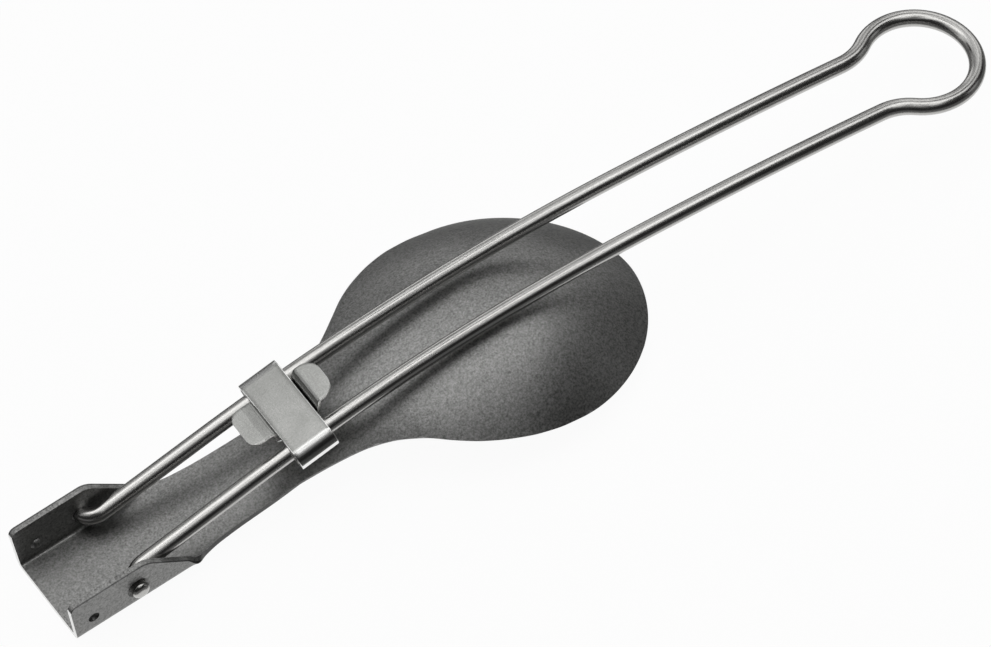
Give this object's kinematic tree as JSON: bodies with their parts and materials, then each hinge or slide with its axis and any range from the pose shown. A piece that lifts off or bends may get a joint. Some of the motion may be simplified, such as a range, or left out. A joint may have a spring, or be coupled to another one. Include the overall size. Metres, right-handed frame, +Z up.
{
  "type": "folding spoon",
  "caption": "Folding camp spoon in its closed state: a stamped bowl with an eared channel, a bent wire handle folded over the bowl's back and a slide lock on the wires.",
  "frame": {"origin": "centre of the folded part's bounding box, on the ground it lies on", "axes": "+X from the channel's free end to the handle's loop, +Y across, from the near ear to the far ear, +Z up, out of the bowl's back"},
  "size_m": [0.1592, 0.0398, 0.0165],
  "materials": {
    "head_titanium": "bead blasted, matt",
    "wire_titanium": "drawn wire, satin",
    "lock_steel": "satin sheet"
  },
  "bodies": {
    "head": {"spoon_head": "head_titanium"},
    "handle": {"wire_handle": "wire_titanium"},
    "lock": {"lock_sleeve": "lock_steel", "lock_tongue": "lock_steel"}
  },
  "joints": [
    {"name": "handle_hinge", "type": "hinge", "parent": "head", "child": "handle", "pos_m": [-0.06863, 0, 0.00467], "axis": [0, -1, 0], "range_deg": [0, 177]},
    {"name": "lock_slide", "type": "slide", "parent": "handle", "child": "lock", "axis": [0.9785, 0, 0.2062], "range_m": [-0.015, 0]}
  ]
}
